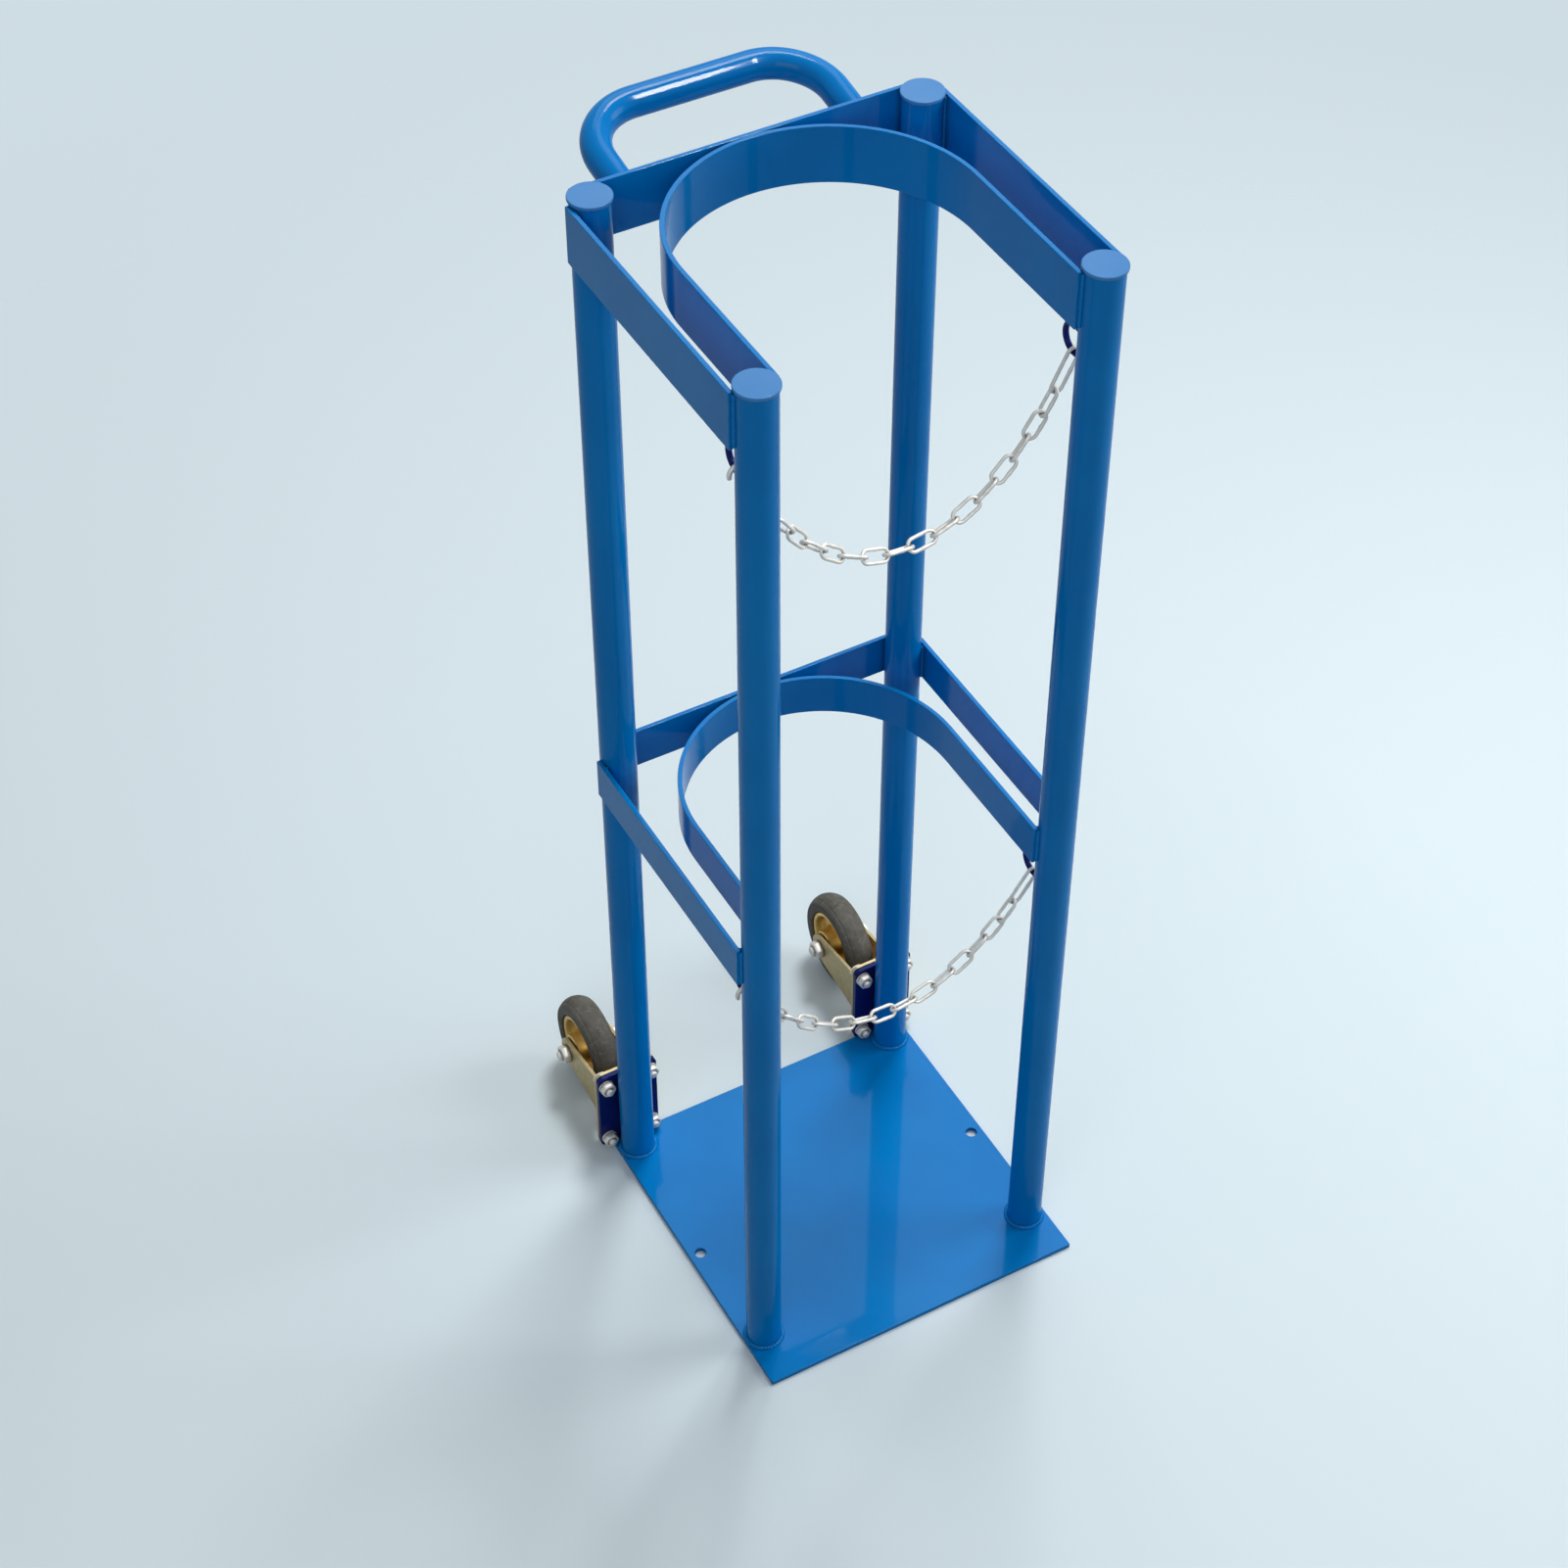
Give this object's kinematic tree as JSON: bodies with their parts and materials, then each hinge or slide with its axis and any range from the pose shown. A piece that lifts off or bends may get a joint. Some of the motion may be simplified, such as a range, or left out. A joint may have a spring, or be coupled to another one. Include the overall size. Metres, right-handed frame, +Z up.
{
  "type": "gas cylinder trolley",
  "caption": "Upright welded tube trolley for a gas cylinder: flat foot plate, U-shaped cradle bands, safety chains, bent handle and rear fixed casters.",
  "frame": {"origin": "centre of the foot plate's underside, on the floor", "axes": "+Z up; +X to the right seen from the chain side, along the wheel axles; +Y to the rear, where the handle and the wheels are"},
  "size_m": [0.347, 0.4541, 1.105],
  "materials": {
    "blue_paint": "gloss azure blue enamel",
    "navy_paint": "gloss dark navy enamel",
    "bright_zinc": "bright zinc plate",
    "yellow_zinc": "yellow passivated zinc plate",
    "hub_paint": "golden yellow, satin",
    "tyre": "black solid rubber",
    "bush": "plain bearing bronze"
  },
  "bodies": {
    "frame": {"foot_plate": "blue_paint", "foot_welds": "blue_paint", "upright_front_left": "blue_paint", "upright_front_right": "blue_paint", "upright_rear_left": "blue_paint", "upright_rear_right": "blue_paint", "cap_front_left": "blue_paint", "cap_front_right": "blue_paint", "cap_rear_left": "blue_paint", "cap_rear_right": "blue_paint", "top_rear_bar": "blue_paint", "top_side_bar_left": "blue_paint", "top_side_bar_right": "blue_paint", "top_cradle_band": "blue_paint", "mid_rear_bar": "blue_paint", "mid_side_bar_left": "blue_paint", "mid_side_bar_right": "blue_paint", "mid_cradle_band": "blue_paint", "handle": "blue_paint", "top_eye_left": "navy_paint", "top_eye_right": "navy_paint", "mid_eye_left": "navy_paint", "mid_eye_right": "navy_paint", "mount_plate_left": "navy_paint", "mount_plate_right": "navy_paint", "caster_fork_left": "yellow_zinc", "caster_fork_right": "yellow_zinc", "caster_bolts_left": "bright_zinc", "caster_bolts_right": "bright_zinc", "caster_washers_left": "bright_zinc", "caster_washers_right": "bright_zinc", "caster_nuts_left": "bright_zinc", "caster_nuts_right": "bright_zinc", "axle_bolt_left": "bright_zinc", "axle_bolt_right": "bright_zinc", "axle_nut_left": "bright_zinc", "axle_nut_right": "bright_zinc", "axle_sleeve_left": "bright_zinc", "axle_sleeve_right": "bright_zinc"},
    "wheel_left": {"wheel_bush_left": "bush", "wheel_hub_left": "hub_paint", "tyre_left": "tyre"},
    "wheel_right": {"wheel_bush_right": "bush", "wheel_hub_right": "hub_paint", "tyre_right": "tyre"},
    "top_chain_set": {"top_hook": "bright_zinc", "top_chain": "bright_zinc", "top_end_link": "bright_zinc"},
    "mid_chain_set": {"mid_hook": "bright_zinc", "mid_chain": "bright_zinc", "mid_end_link": "bright_zinc"}
  },
  "joints": [
    {"name": "wheel_left_spin", "type": "hinge", "parent": "frame", "child": "wheel_left", "pos_m": [-0.141, 0.2441, 0.0515], "axis": [1, 0, 0], "continuous": true},
    {"name": "wheel_right_spin", "type": "hinge", "parent": "frame", "child": "wheel_right", "pos_m": [0.141, 0.2441, 0.0515], "axis": [1, 0, 0], "continuous": true},
    {"name": "top_chain_swing", "type": "hinge", "parent": "frame", "child": "top_chain_set", "pos_m": [0, -0.079, 1.019], "axis": [1, 0, 0], "range_deg": [-18, 80]},
    {"name": "mid_chain_swing", "type": "hinge", "parent": "frame", "child": "mid_chain_set", "pos_m": [0, -0.079, 0.463], "axis": [1, 0, 0], "range_deg": [-18, 80]}
  ]
}
